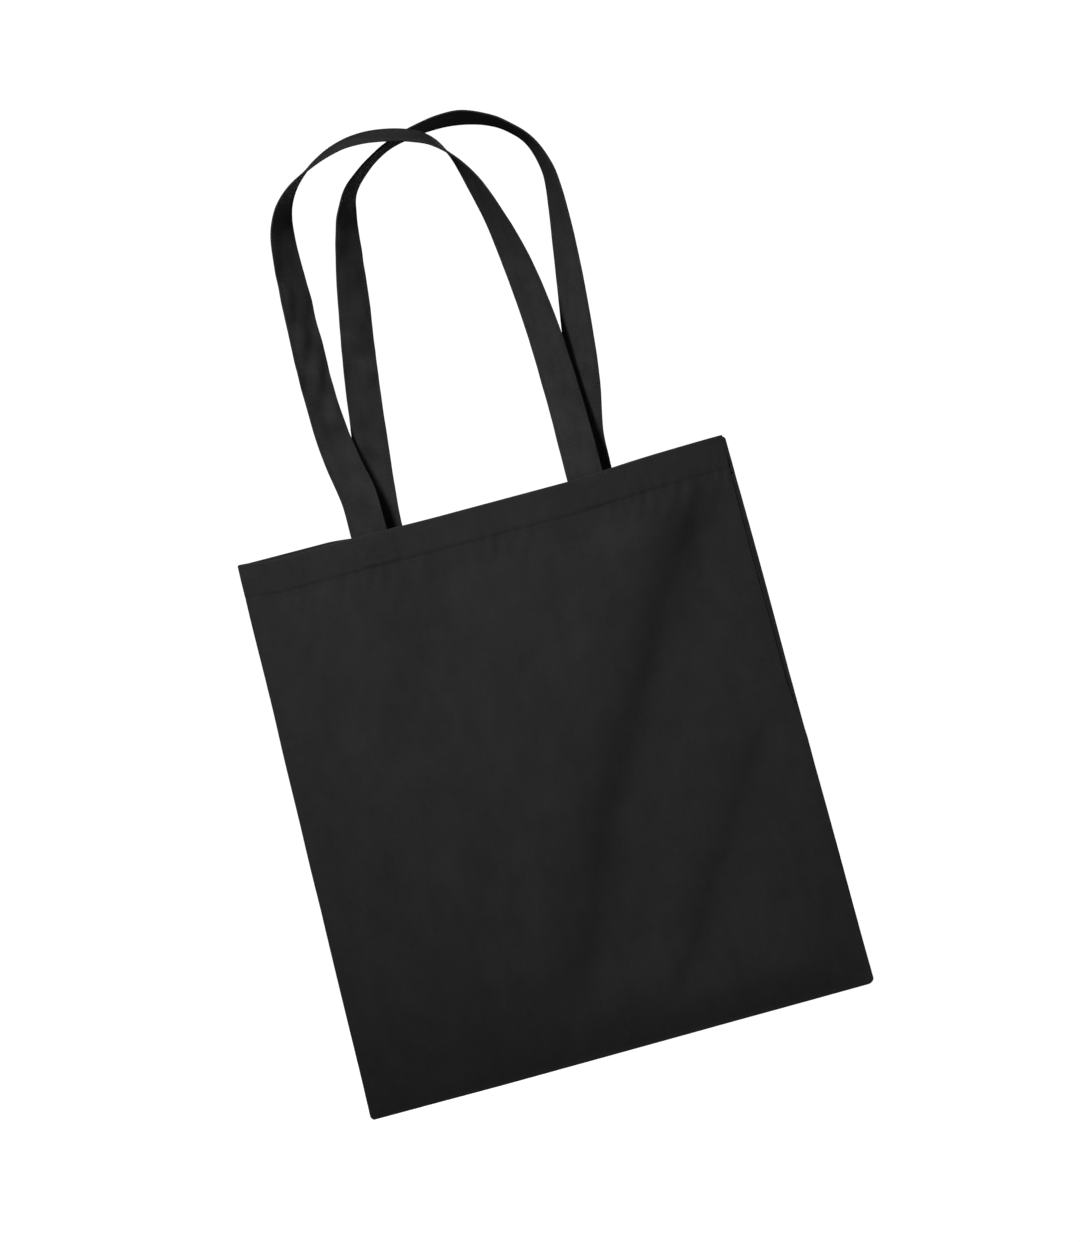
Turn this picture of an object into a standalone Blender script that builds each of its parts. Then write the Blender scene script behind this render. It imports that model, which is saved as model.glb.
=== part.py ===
"""Canvas tote bag, hanging upright: X across the bag, front face towards -Y, Z from the base to the handles.

Two canvas panels are sewn together down the sides and along the base, the mouth is hemmed, and two strap
handles are sewn inside the hem with a boxed cross at each end.  The origin is the point under both arches
where a hook or a hand carries the bag; heights below are from the bag's base.  Run it with
blender --background --python part.py, or from Blender's text editor.
"""

import math

import bmesh
import bpy
import numpy as np

# Driving dimensions, in metres.
BODY_HEIGHT = 0.419
BASE_WIDTH = 0.384
MOUTH_WIDTH = 0.371
MOUTH_DEPTH = 0.028  # inside, from the front panel to the back panel
BASE_SWELL = 0.072  # height over which the bag opens from its base seam to its full depth
CORNER_RADIUS = 0.006
CANVAS = 0.0008
HEM_HEIGHT = 0.025
HEM_THICKNESS = 0.0014  # the turned-in cloth, behind the panel
SEAM_ALLOWANCE = 0.008
SEAM_THICKNESS = 0.0014
OVERLOCK_WIDTH = 0.0015
STRAP_WIDTH = 0.027
STRAP_THICKNESS = 0.0016
STRAP_TAIL = 0.023  # length of strap sewn inside the hem
FRONT_STRAP_SPREAD = 0.167  # between the middles of a handle's two ends
BACK_STRAP_SPREAD = 0.161
BACK_STRAP_SHIFT = 0.010  # the back handle is sewn on a little to the right
HANDLE_RISE = 0.286  # from the rim to the middle of a handle's arch
HANDLE_CLEARANCE = 0.0017  # from the bag's middle plane to a strap that stands on its edge
CARRY_BELOW_ARCH = 0.014  # from the middle of the higher arch down to the point that carries both
THREAD_WIDTH = 0.0009
THREAD_THICKNESS = 0.0005
BOX_HEIGHT = 0.018
BOX_BELOW_RIM = 0.0025
HEM_STITCH_INSET = 0.0022  # above the hem's lower edge
EDGE_STITCH_INSET = 0.0025  # from a strap's edge
EDGE_STITCH_START = 0.012  # clear of the rim when a handle hangs down outside
GAP = 0.0003  # between pieces that touch
FLAT_MARGIN = 0.0013  # flat canvas outside the outermost strap edge
HINGE_ABOVE_RIM = 0.001

# A handle's route: across in half spreads, up in rises, and the turn in degrees of the face that looks
# forward at the strap's end.  At 90 degrees that face looks straight in towards the arch's middle.
FRONT_ROUTE = (
    (-1.000, 0.000, 0),
    (-1.035, 0.080, 10),
    (-1.070, 0.190, 32),
    (-1.100, 0.380, 33),
    (-1.100, 0.660, 43),
    (-1.050, 0.795, 56),
    (-0.880, 0.900, 76),
    (-0.630, 0.978, 97),
    (-0.240, 1.000, 108),
    (0.195, 0.970, 115),
    (0.500, 0.908, 95),
    (0.695, 0.816, 64),
    (0.810, 0.650, 46),
    (0.970, 0.420, 35),
    (1.020, 0.180, 30),
    (1.015, 0.070, 9),
    (1.000, 0.000, 0),
)
BACK_ROUTE = (
    (-1.000, 0.000, 0),
    (-0.975, 0.080, 10),
    (-0.890, 0.290, 28),
    (-0.780, 0.520, 30),
    (-0.660, 0.705, 46),
    (-0.565, 0.825, 66),
    (-0.435, 0.903, 76),
    (-0.055, 0.962, 82),
    (0.470, 0.996, 68),
    (0.790, 0.972, 73),
    (1.035, 0.930, 78),
    (1.265, 0.855, 75),
    (1.310, 0.680, 62),
    (1.255, 0.522, 48),
    (1.180, 0.370, 35),
    (1.115, 0.210, 30),
    (1.040, 0.080, 10),
    (1.000, 0.000, 0),
)
HANDLE_STATIONS = 68

FRONT = -1
BACK = 1
LEFT = -1
RIGHT = 1

# Dependent sizes.
SEAM_HALF = SEAM_THICKNESS / 2 + GAP
STRAP_MIDDLES = {
    FRONT: (-FRONT_STRAP_SPREAD / 2, FRONT_STRAP_SPREAD / 2),
    BACK: (BACK_STRAP_SHIFT - BACK_STRAP_SPREAD / 2, BACK_STRAP_SHIFT + BACK_STRAP_SPREAD / 2),
}
OUTERMOST_STRAP = max(abs(middle) for pair in STRAP_MIDDLES.values() for middle in pair)
FLAT_HALF = OUTERMOST_STRAP + STRAP_WIDTH / 2 + FLAT_MARGIN
RIM_STACK = CANVAS + GAP + HEM_THICKNESS
STRAP_FACE = MOUTH_DEPTH / 2 - 2 * GAP - HEM_THICKNESS  # the strap's outer face, from the middle plane
HINGE_DEPTH = MOUTH_DEPTH / 2 + CANVAS - RIM_STACK / 2
HINGE_HEIGHT = BODY_HEIGHT + HINGE_ABOVE_RIM
OUTSIDE_THREAD = CANVAS + GAP  # a thread's inner face, out from a panel's inner face
CARRY_HEIGHT = BODY_HEIGHT + HANDLE_RISE - CARRY_BELOW_ARCH
ARCH_DEPTH = STRAP_WIDTH / 2 + HANDLE_CLEARANCE  # from the middle plane to a handle's arch


def clear_scene():
    for found in list(bpy.data.objects):
        bpy.data.objects.remove(found, do_unlink=True)


def material(name, colour, roughness):
    """A plain dyed cotton finish of the piece's own."""
    made = bpy.data.materials.new(name)
    made.use_nodes = True
    shader = made.node_tree.nodes["Principled BSDF"]
    shader.inputs["Base Color"].default_value = (*colour, 1.0)
    shader.inputs["Roughness"].default_value = roughness
    shader.inputs["Metallic"].default_value = 0.0
    return made


def canvas_material(name):
    return material(name + "_canvas", (0.022, 0.022, 0.023), 0.92)


def strap_material(name):
    return material(name + "_strap_canvas", (0.027, 0.027, 0.028), 0.9)


def thread_material(name):
    return material(name + "_thread", (0.018, 0.018, 0.019), 0.7)


def holder(name, height, depth=0.0, parent=None):
    """An empty that places the pieces parented to it."""
    empty = bpy.data.objects.new(name, None)
    empty.location = (0.0, depth, height)
    empty.parent = parent
    bpy.context.scene.collection.objects.link(empty)
    return empty


def solid(name, points, faces, finish, hinge=None):
    """One closed piece.  With a hinge, its origin lies on the hinge's axis."""
    origin = hinge.location if hinge else (0.0, 0.0, 0.0)
    mesh = bpy.data.meshes.new(name)
    mesh.from_pydata([tuple(np.subtract(point, origin)) for point in points], [], faces)
    work = bmesh.new()
    work.from_mesh(mesh)
    bmesh.ops.recalc_face_normals(work, faces=work.faces)
    work.to_mesh(mesh)
    work.free()
    mesh.shade_smooth()
    mesh.set_sharp_from_angle(angle=math.radians(35))
    piece = bpy.data.objects.new(name, mesh)
    piece.data.materials.append(finish)
    piece.parent = hinge or bpy.data.objects["tote_bag"]
    bpy.context.scene.collection.objects.link(piece)
    return piece


def reach(z):
    """Half the bag's width at a height."""
    return (BASE_WIDTH + (MOUTH_WIDTH - BASE_WIDTH) * z / BODY_HEIGHT) / 2


def ease(share):
    """Rises at once from 0 and comes level at 1, as cloth does from a seam to a flat."""
    share = min(max(share, 0.0), 1.0)
    return 1 - (1 - share) ** 2


def half_gap(x, z):
    """From the bag's middle plane to a panel's inner face."""
    side_swell = reach(z) - SEAM_ALLOWANCE - FLAT_HALF
    across = ease((reach(z) - abs(x) - SEAM_ALLOWANCE) / side_swell)
    up = ease((z - SEAM_ALLOWANCE) / BASE_SWELL)
    return SEAM_HALF + (MOUTH_DEPTH / 2 - SEAM_HALF) * across * up


def base_line(x):
    """Height of the rounded lower edge."""
    past = max(0.0, abs(x) - (reach(0.0) - CORNER_RADIUS))
    return CORNER_RADIUS - math.sqrt(max(0.0, CORNER_RADIUS**2 - past**2))


def side_steps():
    """Distances in from a side edge at which a panel has its columns."""
    corner = [CORNER_RADIUS * share for share in (0.0, 0.1, 0.4, 1.0)]
    return corner + [SEAM_ALLOWANCE]


def panel_columns(z, from_edge=0.0, swell_columns=6):
    """Columns across a panel at a height, starting a distance in from its side edges."""
    edge = reach(z)
    start = max(from_edge, SEAM_ALLOWANCE)
    steps = [step for step in side_steps() if from_edge <= step < start] + [start]
    swell = edge - start - FLAT_HALF
    steps += [start + swell * (count + 1) / swell_columns for count in range(swell_columns)]
    left = [step - edge for step in steps]
    return left + [-x for x in reversed(left)]


def panel_rows(swell_rows=6):
    rows = [0.0, SEAM_ALLOWANCE]
    rows += [SEAM_ALLOWANCE + BASE_SWELL * (count + 1) / swell_rows for count in range(swell_rows)]
    return rows + [BODY_HEIGHT - HEM_HEIGHT, BODY_HEIGHT]


def sheet(name, columns, rows, near, far, finish):
    """A closed sheet between two depths, on a grid of columns and rows."""
    grid = []
    for row in rows:
        for x in columns(row):
            grid.append((x, row + base_line(x) * (1 - row / BODY_HEIGHT)))
    wide = len(columns(rows[0]))
    high = len(rows)
    points = [(x, near(x, z), z) for x, z in grid] + [(x, far(x, z), z) for x, z in grid]
    other = len(grid)
    faces = []
    for j in range(high - 1):
        for i in range(wide - 1):
            a = j * wide + i
            quad = (a, a + 1, a + wide + 1, a + wide)
            faces.append(quad)
            faces.append(tuple(corner + other for corner in reversed(quad)))
    border = [i for i in range(wide)]
    border += [j * wide + wide - 1 for j in range(1, high)]
    border += [(high - 1) * wide + i for i in reversed(range(wide - 1))]
    border += [j * wide for j in reversed(range(1, high - 1))]
    for a, b in zip(border, border[1:] + border[:1]):
        faces.append((b, a, a + other, b + other))
    return solid(name, points, faces, finish)


def layer(name, side, columns, rows, inner, outer, finish):
    """A sheet that follows a panel, from inner to outer depth out of the panel's inner face."""
    return sheet(
        name,
        columns,
        rows,
        lambda x, z: side * (half_gap(x, z) + inner),
        lambda x, z: side * (half_gap(x, z) + outer),
        finish,
    )


def panel(name, side):
    """A canvas panel: cut, sewn to the other along three edges, and turned right side out."""
    layer(name, side, panel_columns, panel_rows(), 0.0, CANVAS, canvas_material(name))


def top_hem(name, side):
    """The panel's upper edge, turned in twice.  It stops where the side seam's cloth begins."""
    needed = (HEM_THICKNESS + 2 * GAP - SEAM_HALF) / (MOUTH_DEPTH / 2 - SEAM_HALF)
    side_swell = MOUTH_WIDTH / 2 - SEAM_ALLOWANCE - FLAT_HALF
    room = side_swell * (1 - math.sqrt(1 - needed))
    from_edge = SEAM_ALLOWANCE + max(room, OVERLOCK_WIDTH + 2 * GAP)
    rows = [BODY_HEIGHT - HEM_HEIGHT, BODY_HEIGHT]
    layer(
        name,
        side,
        lambda z: panel_columns(z, from_edge),
        rows,
        -GAP - HEM_THICKNESS,
        -GAP,
        canvas_material(name),
    )


def side_seam(name, side):
    """The two panels' side allowances, lying together inside the bag."""
    rows = panel_rows()[1:]
    rows[0] += GAP

    def columns(z):
        return sorted(side * (reach(z) - step) for step in side_steps())

    half = SEAM_THICKNESS / 2
    sheet(name, columns, rows, lambda x, z: -half, lambda x, z: half, canvas_material(name))


def base_seam(name):
    """The two panels' lower allowances, lying together inside the bag."""
    half = SEAM_THICKNESS / 2
    rows = [0.0, SEAM_ALLOWANCE]
    sheet(name, panel_columns, rows, lambda x, z: -half, lambda x, z: half, canvas_material(name))


def side_overlock(name, side):
    """Thread wrapped over the free edge of a side seam."""
    rows = panel_rows()[1:]
    rows[0] += 2 * GAP + OVERLOCK_WIDTH
    near_edge = SEAM_ALLOWANCE + GAP

    def columns(z):
        return sorted(side * (reach(z) - near_edge - width) for width in (0.0, OVERLOCK_WIDTH))

    half = SEAM_THICKNESS / 2
    sheet(name, columns, rows, lambda x, z: -half, lambda x, z: half, thread_material(name))


def base_overlock(name):
    """Thread wrapped over the free edge of the base seam, between the two side seams."""
    half = SEAM_THICKNESS / 2
    end = SEAM_ALLOWANCE + GAP
    rows = [SEAM_ALLOWANCE + GAP, SEAM_ALLOWANCE + GAP + OVERLOCK_WIDTH]

    def columns(z):
        return [end - reach(z), reach(z) - end]

    sheet(name, columns, rows, lambda x, z: -half, lambda x, z: half, thread_material(name))


def strap_end(name, side, middle):
    """The end of a handle's strap, sewn flat against the inside of the hem."""
    rows = [BODY_HEIGHT - STRAP_TAIL, BODY_HEIGHT]
    outer = STRAP_FACE - MOUTH_DEPTH / 2
    layer(
        name,
        side,
        lambda z: [middle - STRAP_WIDTH / 2, middle + STRAP_WIDTH / 2],
        rows,
        outer - STRAP_THICKNESS,
        outer,
        strap_material(name),
    )


def crossed_box(half_wide, half_high, half_thread):
    """Outlines of a thread laid as a box with a cross in it: the outside, then its four openings."""
    slope = half_high / half_wide
    diagonal = math.hypot(half_wide, half_high)
    up = half_thread * diagonal / half_wide  # half of a diagonal's thread, measured up
    aside = half_thread * diagonal / half_high  # and measured across
    inner_x = half_wide - half_thread
    inner_z = half_high - half_thread
    outer_x = half_wide + half_thread
    outer_z = half_high + half_thread
    loops = [[(-outer_x, -outer_z), (outer_x, -outer_z), (outer_x, outer_z), (-outer_x, outer_z)]]
    wide = (inner_z - up) / slope
    high = inner_x * slope - up
    for sign in (1, -1):
        loops.append([(0.0, sign * up), (sign * wide, sign * inner_z), (-sign * wide, sign * inner_z)])
        loops.append([(sign * aside, 0.0), (sign * inner_x, -sign * high), (sign * inner_x, sign * high)])
    return loops


def box_stitch(name, side, middle):
    """Stitching through panel, hem and strap: a box with a cross in it."""
    half_wide = STRAP_WIDTH / 2 - EDGE_STITCH_INSET
    centre_z = BODY_HEIGHT - BOX_BELOW_RIM - BOX_HEIGHT / 2
    work = bmesh.new()
    edges = []
    for loop in crossed_box(half_wide, BOX_HEIGHT / 2, THREAD_WIDTH / 2):
        corners = [work.verts.new((middle + x, 0.0, centre_z + z)) for x, z in loop]
        edges += [work.edges.new(pair) for pair in zip(corners, corners[1:] + corners[:1])]
    bmesh.ops.triangle_fill(work, use_beauty=True, edges=edges)
    grown = bmesh.ops.extrude_face_region(work, geom=list(work.faces))
    raised = [found for found in grown["geom"] if isinstance(found, bmesh.types.BMVert)]
    bmesh.ops.translate(work, verts=raised, vec=(0.0, THREAD_THICKNESS, 0.0))
    work.verts.index_update()
    points = []
    for x, raise_by, z in (vert.co for vert in work.verts):
        points.append((x, side * (half_gap(x, z) + OUTSIDE_THREAD + raise_by), z))
    faces = [tuple(vert.index for vert in face.verts) for face in work.faces]
    work.free()
    solid(name, points, faces, thread_material(name))


def hem_stitch(name, side):
    """The row of stitches that holds a hem, on the panel's outside."""
    low = BODY_HEIGHT - HEM_HEIGHT + HEM_STITCH_INSET - THREAD_WIDTH / 2
    rows = [low, low + THREAD_WIDTH]
    layer(
        name,
        side,
        lambda z: panel_columns(z, SEAM_ALLOWANCE),
        rows,
        OUTSIDE_THREAD,
        OUTSIDE_THREAD + THREAD_THICKNESS,
        thread_material(name),
    )


def through(points, count):
    """Evenly spaced stations on a smooth curve through points, each a row of numbers."""
    known = np.array(points, dtype=float)
    known = np.vstack([2 * known[0] - known[1], known, 2 * known[-1] - known[-2]])
    fine = []
    for p0, p1, p2, p3 in zip(known, known[1:], known[2:], known[3:]):
        for t in np.arange(0.0, 1.0, 0.05):
            bend = 2 * p0 - 5 * p1 + 4 * p2 - p3
            twist = 3 * (p1 - p2) + p3 - p0
            fine.append(p1 + 0.5 * (t * (p2 - p0) + t * t * bend + t**3 * twist))
    fine = np.array(fine + [known[-2]])
    steps = np.linalg.norm(np.diff(fine[:, :3], axis=0), axis=1)
    along = np.concatenate([[0.0], np.cumsum(steps)])
    wanted = np.linspace(0.0, along[-1], count)
    return np.column_stack([np.interp(wanted, along, column) for column in fine.T])


def handle_stations(side, route):
    """(place, face direction, width direction) along a handle, from its left end to its right end."""
    left, right = STRAP_MIDDLES[side]
    middle = (left + right) / 2
    half = (right - left) / 2
    foot = STRAP_FACE - STRAP_THICKNESS / 2
    points = []
    for across, up, turn in route:
        lean = ease(up)
        depth = foot + (ARCH_DEPTH - foot) * lean
        z = BODY_HEIGHT + GAP + (HANDLE_RISE - GAP) * up
        points.append((middle + across * half, side * depth, z, math.radians(turn)))
    rows = through(points, HANDLE_STATIONS)
    places = rows[:, :3]
    tangents = np.gradient(places, axis=0)
    tangents[0] = (0.0, 0.0, 1.0)
    tangents[-1] = (0.0, 0.0, -1.0)
    tangents /= np.linalg.norm(tangents, axis=1)[:, None]
    forward = np.array((0.0, -1.0, 0.0))
    stations = []
    for place, tangent, turn in zip(places, tangents, rows[:, 3]):
        inward = np.cross(tangent, forward)
        inward /= np.linalg.norm(inward)
        face = math.cos(turn) * forward + math.sin(turn) * inward
        across = np.cross(tangent, face)
        stations.append((place, face, across / np.linalg.norm(across)))
    return stations


def ribbon(name, stations, columns, low, high, finish, hinge):
    """A flat strip along a handle, with columns across it, between two heights from its middle surface."""
    points = []
    for place, face, across in stations:
        for offset in columns:
            points.append(place + across * offset + face * low)
        for offset in reversed(columns):
            points.append(place + across * offset + face * high)
    loop = 2 * len(columns)
    faces = []
    for first, step in ((0, 1), (len(points) - loop, -1)):
        for i in range(len(columns) - 1):
            quad = (i, i + 1, loop - 2 - i, loop - 1 - i)
            faces.append(tuple(first + corner for corner in quad[::step]))
    for start in range(0, len(points) - loop, loop):
        for corner in range(loop):
            after = (corner + 1) % loop
            faces.append((start + corner, start + loop + corner, start + loop + after, start + after))
    solid(name, points, faces, finish, hinge)


def handle(name, side, route):
    """A strap of folded canvas with a row of stitches along each edge.  It turns about the rim."""
    hinge = holder(name + "_hinge", HINGE_HEIGHT, side * HINGE_DEPTH, bpy.data.objects["tote_bag"])
    stations = handle_stations(side, route)
    half = STRAP_THICKNESS / 2
    inset = STRAP_WIDTH / 2 - EDGE_STITCH_INSET
    row = [inset - THREAD_WIDTH / 2, inset + THREAD_WIDTH / 2]
    opposite = [-offset for offset in reversed(row)]
    columns = [-STRAP_WIDTH / 2, *opposite, 0.0, *row, STRAP_WIDTH / 2]
    ribbon(name, stations, columns, -half, half, strap_material(name), hinge)
    clear = BODY_HEIGHT + EDGE_STITCH_START
    sewn = [station for station in stations if station[0][2] > clear]
    for row_name, across in (("_outer_edge_stitch", opposite), ("_inner_edge_stitch", row)):
        stitch = name + row_name
        low = half + GAP
        ribbon(stitch, sewn, across, low, low + THREAD_THICKNESS, thread_material(stitch), hinge)


def build():
    clear_scene()
    holder("tote_bag", -CARRY_HEIGHT)
    for side_name, side, route in (("front", FRONT, FRONT_ROUTE), ("back", BACK, BACK_ROUTE)):
        panel(side_name + "_panel", side)
        top_hem(side_name + "_top_hem", side)
        hem_stitch(side_name + "_hem_stitch", side)
        for end_name, middle in zip(("left", "right"), STRAP_MIDDLES[side]):
            strap_end(f"{side_name}_{end_name}_strap_end", side, middle)
            box_stitch(f"{side_name}_{end_name}_box_stitch", side, middle)
        handle(side_name + "_handle", side, route)
    for side_name, side in (("left", LEFT), ("right", RIGHT)):
        side_seam(side_name + "_side_seam", side)
        side_overlock(side_name + "_seam_overlock", side)
    base_seam("base_seam")
    base_overlock("base_seam_overlock")


build()
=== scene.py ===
import math

import bmesh
import bpy
import numpy as np
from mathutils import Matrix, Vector


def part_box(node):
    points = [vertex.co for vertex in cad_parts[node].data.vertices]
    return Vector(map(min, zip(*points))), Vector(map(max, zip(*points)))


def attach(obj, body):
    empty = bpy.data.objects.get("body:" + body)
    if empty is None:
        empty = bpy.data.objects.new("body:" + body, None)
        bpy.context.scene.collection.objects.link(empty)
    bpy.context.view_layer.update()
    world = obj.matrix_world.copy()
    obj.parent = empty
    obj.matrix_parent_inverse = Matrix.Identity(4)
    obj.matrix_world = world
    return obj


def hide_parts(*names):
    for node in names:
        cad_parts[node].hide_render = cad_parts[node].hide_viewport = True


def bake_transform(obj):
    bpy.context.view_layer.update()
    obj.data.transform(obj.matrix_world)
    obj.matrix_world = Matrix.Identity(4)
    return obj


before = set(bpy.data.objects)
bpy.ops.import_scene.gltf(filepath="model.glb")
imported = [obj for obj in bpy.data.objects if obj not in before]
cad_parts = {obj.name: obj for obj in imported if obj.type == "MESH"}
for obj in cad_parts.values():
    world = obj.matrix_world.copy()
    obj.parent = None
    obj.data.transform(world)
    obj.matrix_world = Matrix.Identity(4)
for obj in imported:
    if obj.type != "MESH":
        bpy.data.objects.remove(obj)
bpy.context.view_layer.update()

# --- The body's cloth -------------------------------------------------------------------------------
# Two panels of black plain-weave cotton canvas, sewn together down the sides and along the base and
# turned right side out, so that each edge is a soft roll with the seam in it.  The mouth's edge is
# turned in twice and stitched, which makes each panel one sheet from the base to inside the hem.

CLOTH = 0.00072  # thickness
EDGE_ROLL = 0.0013  # radius of the cloth round a side seam
RIM_EDGE_ROLL = 0.0026  # the same where the hem's layers thicken it
RIM_THICKENING = 0.03  # height below the rim over which the edge grows thicker
HEM_TURN = 0.00085  # radius of the fold at the rim
HEM_HEIGHT = 0.027
HEM_UNDER = 0.007  # the part turned under inside the hem
UNDER_TURN = 0.0004  # radius of that turn
HEM_STITCH_UP = 0.0022  # the hem's stitches, above its lower fold
BASE_SWELL = 0.150  # height over which the bag opens from its base seam
BASE_ROLL = 0.0016
CORNER = 0.005  # rounding of the base's corners
TOP_CORNER = 0.0035  # rounding of the mouth's right corner
CLOTH_PITCH = 0.0021  # spacing of the cloth's rows and columns
HEM_PITCH = 0.00125  # the same for the rows up the hem

base_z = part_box("base_seam")[0].z
rim_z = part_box("front_panel")[1].z
height = rim_z - base_z
half_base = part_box("front_panel")[1].x
half_mouth = max(v.co.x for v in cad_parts["front_panel"].data.vertices if v.co.z > rim_z - 1e-5)
outer_depth = -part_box("front_panel")[0].y
flat_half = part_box("back_right_strap_end")[1].x + 0.001  # the panels keep their full depth this far out


def ramp(low, high, value):
    """0 below low, 1 above high, and smooth between."""
    share = np.clip((value - low) / (high - low), 0.0, 1.0)
    return share * share * (3 - 2 * share)


def bell(value, width):
    return np.exp(-((value / width) ** 2))


def reach(z):
    return half_base + (half_mouth - half_base) * z / height


def ripple(x, z, seed, scale, count=14, stretch=1.0):
    """Uneven waves about a length scale, between about -1 and 1, longer along Z by stretch."""
    draw = np.random.default_rng(seed)
    total = np.zeros(np.broadcast(x, z).shape)
    for _ in range(count):
        turn = draw.uniform(0, math.pi)
        length = scale * draw.uniform(0.6, 1.7)
        phase = draw.uniform(0, 2 * math.pi)
        along = x * math.cos(turn) + z * math.sin(turn) / stretch
        total += np.sin(2 * math.pi * along / length + phase)
    return total / math.sqrt(count * 1.6)


def drape_fold(x, z, path, drop, onset, tail, recovery):
    """A fold: the cloth swells a little towards its path, falls away on the right and comes back slowly."""
    place = np.array(path)
    top, foot = place[0], place[-1]
    share = np.clip((top[1] - z) / (top[1] - foot[1]), 0.0, 1.0)
    line = np.polyval(np.polyfit(place[:, 1], place[:, 0], 3), np.clip(z, foot[1], top[1]))
    signed = (x - line) * (top[1] - foot[1]) / np.linalg.norm(top - foot)
    width = onset + (tail - onset) * ramp(-0.4 * tail, 1.8 * tail, signed)
    fall = 1 / (1 + np.exp(-signed / width))
    back = np.exp(-np.maximum(signed, 0.0) / recovery)
    swell = 0.42 * (1 - fall) * np.exp(np.minimum(signed, 0.0) / recovery)
    ends = ramp(0.0, 0.14, share) * ramp(0.0, 0.16, 1 - share)
    return drop * (swell - fall * back) * ends


# Each fold: its line from the mouth down, in metres from the middle of the base, then how far it drops,
# how wide the start and the tail of the fall are, and over what distance the cloth comes back.
FRONT_FOLDS = (
    (((0.180, 0.406), (0.158, 0.382), (0.140, 0.358), (0.124, 0.330), (0.104, 0.294), (0.084, 0.254),
      (0.060, 0.214), (0.035, 0.170), (0.011, 0.120), (-0.004, 0.085), (-0.024, 0.020)),
     0.0225, 0.0125, 0.0350, 0.115),
    (((0.172, 0.222), (0.152, 0.193), (0.130, 0.162), (0.106, 0.118), (0.088, 0.092), (0.073, 0.066),
      (0.056, 0.041), (0.038, 0.016)), 0.0072, 0.0066, 0.0130, 0.050),
    (((0.156, 0.182), (0.165, 0.150), (0.172, 0.118), (0.177, 0.080), (0.180, 0.030)),
     0.0050, 0.0050, 0.0080, 0.030),
    (((-0.036, 0.398), (-0.066, 0.350), (-0.096, 0.292), (-0.128, 0.228)), 0.0036, 0.0080, 0.0110, 0.040),
    (((-0.112, 0.396), (-0.134, 0.330), (-0.158, 0.262)), 0.0024, 0.0065, 0.0090, 0.030),
    (((-0.050, 0.190), (-0.078, 0.122), (-0.100, 0.050)), 0.0024, 0.0072, 0.0100, 0.034),
    (((0.052, 0.394), (0.030, 0.340), (0.012, 0.290)), 0.0018, 0.0058, 0.0080, 0.030),
)
BACK_FOLDS = (
    (((0.150, 0.385), (0.112, 0.300), (0.083, 0.215), (0.060, 0.120)), 0.0030, 0.0050, 0.0080, 0.050),
    (((-0.020, 0.372), (-0.052, 0.290), (-0.075, 0.200), (-0.088, 0.105)), 0.0022, 0.0047, 0.0070, 0.040),
    (((0.176, 0.190), (0.140, 0.130), (0.110, 0.062)), 0.0018, 0.0034, 0.0050, 0.026),
    (((-0.110, 0.345), (-0.140, 0.262), (-0.156, 0.170)), 0.0016, 0.0043, 0.0060, 0.034),
)


# How far each strap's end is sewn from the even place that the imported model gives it.
SEWN_OFF = {"front": (0.0022, -0.0012), "back": (0.0000, -0.0005)}


def strap_spans(side):
    """Where each strap's left and right edges are at the rim."""
    boxes = [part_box(f"{side}_{end}_strap_end") for end in ("left", "right")]
    return [(box[0].x + off, box[1].x + off) for box, off in zip(boxes, SEWN_OFF[side])]


# The cloth's waves, from broad to fine: height, length, and how much longer they are up the bag.
WAVES = ((0.0011, 0.16, 1.5), (0.00050, 0.05, 1.8), (0.00016, 0.021, 1.0))


def slack(x, z, folds, side, seed):
    """Folds and waves, which die out towards the seams, the hem and the straps' sewn ends."""
    relief = np.zeros(x.shape)
    for fold in folds:
        relief += drape_fold(x, z, *fold)
    for number, (rise, scale, stretch) in enumerate(WAVES):
        relief += rise * ripple(x, z, seed + number, scale, stretch=stretch)
    below_rim = height - z
    held = np.zeros(x.shape)
    for left, right in strap_spans(side):
        near = ramp(left - 0.030, left - 0.004, x) * ramp(-right - 0.030, -right - 0.004, -x)
        held = np.maximum(held, near)
    relief *= ramp(0.0, 0.045, reach(z) - np.abs(x)) * (0.2 + 0.8 * ramp(0.0, 0.04, z))
    relief *= 1 - held * ramp(-0.060, -0.024, -below_rim)
    return relief * (1 - 0.5 * ramp(-0.050, -0.015, -below_rim))


# Spacing of the small pulls beside the stitching.
HEM_PULL = 0.0092
SLANTED_PULL = 0.0136
SIDE_PULL = 0.0115
BASE_PULL = 0.0125


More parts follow.
